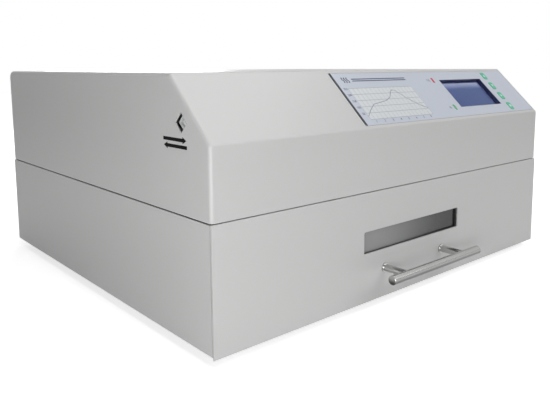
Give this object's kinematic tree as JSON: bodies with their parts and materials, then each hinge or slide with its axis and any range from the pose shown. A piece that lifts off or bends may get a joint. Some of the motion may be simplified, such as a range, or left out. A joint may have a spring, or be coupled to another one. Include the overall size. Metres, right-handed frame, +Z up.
{
  "type": "reflow oven",
  "caption": "Bench-top infrared reflow oven with a pull-out windowed drawer, sloped control face with display and keys, and a rear exhaust fan.",
  "frame": {"origin": "bench level, at the centre of the overall footprint with the handle and rear fittings counted", "axes": "+X to the right as seen from the front, +Y to the back, +Z up"},
  "size_m": [0.58, 0.575, 0.265],
  "materials": {
    "casing_paint": "satin",
    "handle_steel": "satin",
    "zinc_steel": "satin",
    "bright_steel": "satin",
    "bright_aluminium": "polished",
    "panel_aluminium": "satin",
    "black_rubber": "matte",
    "seal_rubber": "matte",
    "insulation_board": "matte",
    "window_glass": "gloss",
    "clear_plastic": "gloss",
    "window_black": "matte",
    "quartz": "gloss",
    "white_ceramic": "matte",
    "black_plastic": "matte",
    "motor_paint": "satin",
    "fan_steel": "satin",
    "contact_brass": "satin",
    "circuit_green": "satin",
    "core_iron": "matte",
    "overlay_film": "satin",
    "display_blue": "gloss",
    "key_green": "satin",
    "lamp_red": "gloss",
    "lamp_green": "gloss",
    "socket_metal": "satin"
  },
  "bodies": {
    "casing": {"base_pan": "casing_paint", "upper_cover": "casing_paint", "rear_panel": "casing_paint", "seam_screws": "zinc_steel", "rear_screws": "zinc_steel", "foot_screws": "zinc_steel", "outer_rails": "zinc_steel", "heater_brackets": "zinc_steel", "motor_plate": "zinc_steel", "exhaust_duct": "zinc_steel", "finger_guard": "zinc_steel", "temperature_probes": "zinc_steel", "chamber_liner": "bright_steel", "chamber_front_frame": "bright_steel", "reflector": "bright_aluminium", "control_plate": "panel_aluminium", "heat_sink": "panel_aluminium", "rubber_feet": "black_rubber", "seam_gaskets": "black_rubber", "panel_gasket": "black_rubber", "chamber_insulation": "insulation_board", "display_lens": "clear_plastic", "heater_tubes": "quartz", "heater_caps": "white_ceramic", "fan_frame": "black_plastic", "mains_inlet": "black_plastic", "switch_housing": "black_plastic", "fuse_holder": "black_plastic", "stirrer_motor": "motor_paint", "inlet_pins": "contact_brass", "power_board": "circuit_green", "controller_board": "circuit_green", "socket_board": "circuit_green", "transformer": "core_iron", "panel_overlay": "overlay_film", "display_module": "display_blue", "heating_lamp": "lamp_red", "cooling_lamp": "lamp_green", "data_socket": "socket_metal"},
    "drawer": {"drawer_front": "casing_paint", "drawer_insulation": "insulation_board", "drawer_inner_plate": "bright_steel", "door_seal": "seal_rubber", "window_sleeve": "window_black", "window_glass": "window_glass", "handle_bar": "handle_steel", "handle_posts": "handle_steel", "handle_screws": "zinc_steel", "drawer_frame": "zinc_steel", "work_tray": "bright_steel", "inner_rails": "zinc_steel"},
    "runner_balls": {"ball_cages": "zinc_steel"},
    "exhaust_rotor": {"fan_rotor": "black_plastic"},
    "stirrer": {"stirrer_wheel": "fan_steel"},
    "rocker": {"switch_rocker": "black_plastic"},
    "key_1": {"key_1": "key_green"},
    "key_2": {"key_2": "key_green"},
    "key_3": {"key_3": "key_green"},
    "key_4": {"key_4": "key_green"}
  },
  "joints": [
    {"name": "drawer_slide", "type": "slide", "parent": "casing", "child": "drawer", "axis": [0, -1, 0], "range_m": [0, 0.29]},
    {"name": "runner_balls_slide", "type": "slide", "parent": "casing", "child": "runner_balls", "axis": [0, -1, 0], "range_m": [0, 0.145]},
    {"name": "exhaust_fan_spin", "type": "hinge", "parent": "casing", "child": "exhaust_rotor", "pos_m": [0.12, 0.265, 0.12], "axis": [0, 1, 0], "continuous": true},
    {"name": "stirrer_spin", "type": "hinge", "parent": "casing", "child": "stirrer", "pos_m": [0, -0.0259, 0.2], "axis": [0, 0, 1], "continuous": true},
    {"name": "power_rocker", "type": "hinge", "parent": "casing", "child": "rocker", "pos_m": [-0.215, 0.2791, 0.112], "axis": [1, 0, 0], "range_deg": [0, 20]},
    {"name": "key_1_press", "type": "slide", "parent": "casing", "child": "key_1", "axis": [0, 0.6896, -0.7242], "range_m": [0, 0.0006], "stiffness_N_per_m": 900, "springref_m": -0.0003},
    {"name": "key_2_press", "type": "slide", "parent": "casing", "child": "key_2", "axis": [0, 0.6896, -0.7242], "range_m": [0, 0.0006], "stiffness_N_per_m": 900, "springref_m": -0.0003},
    {"name": "key_3_press", "type": "slide", "parent": "casing", "child": "key_3", "axis": [0, 0.6896, -0.7242], "range_m": [0, 0.0006], "stiffness_N_per_m": 900, "springref_m": -0.0003},
    {"name": "key_4_press", "type": "slide", "parent": "casing", "child": "key_4", "axis": [0, 0.6896, -0.7242], "range_m": [0, 0.0006], "stiffness_N_per_m": 900, "springref_m": -0.0003}
  ],
  "couplings": [
    {"joint": "runner_balls_slide", "follows": "drawer_slide", "ratio": 0.5}
  ]
}
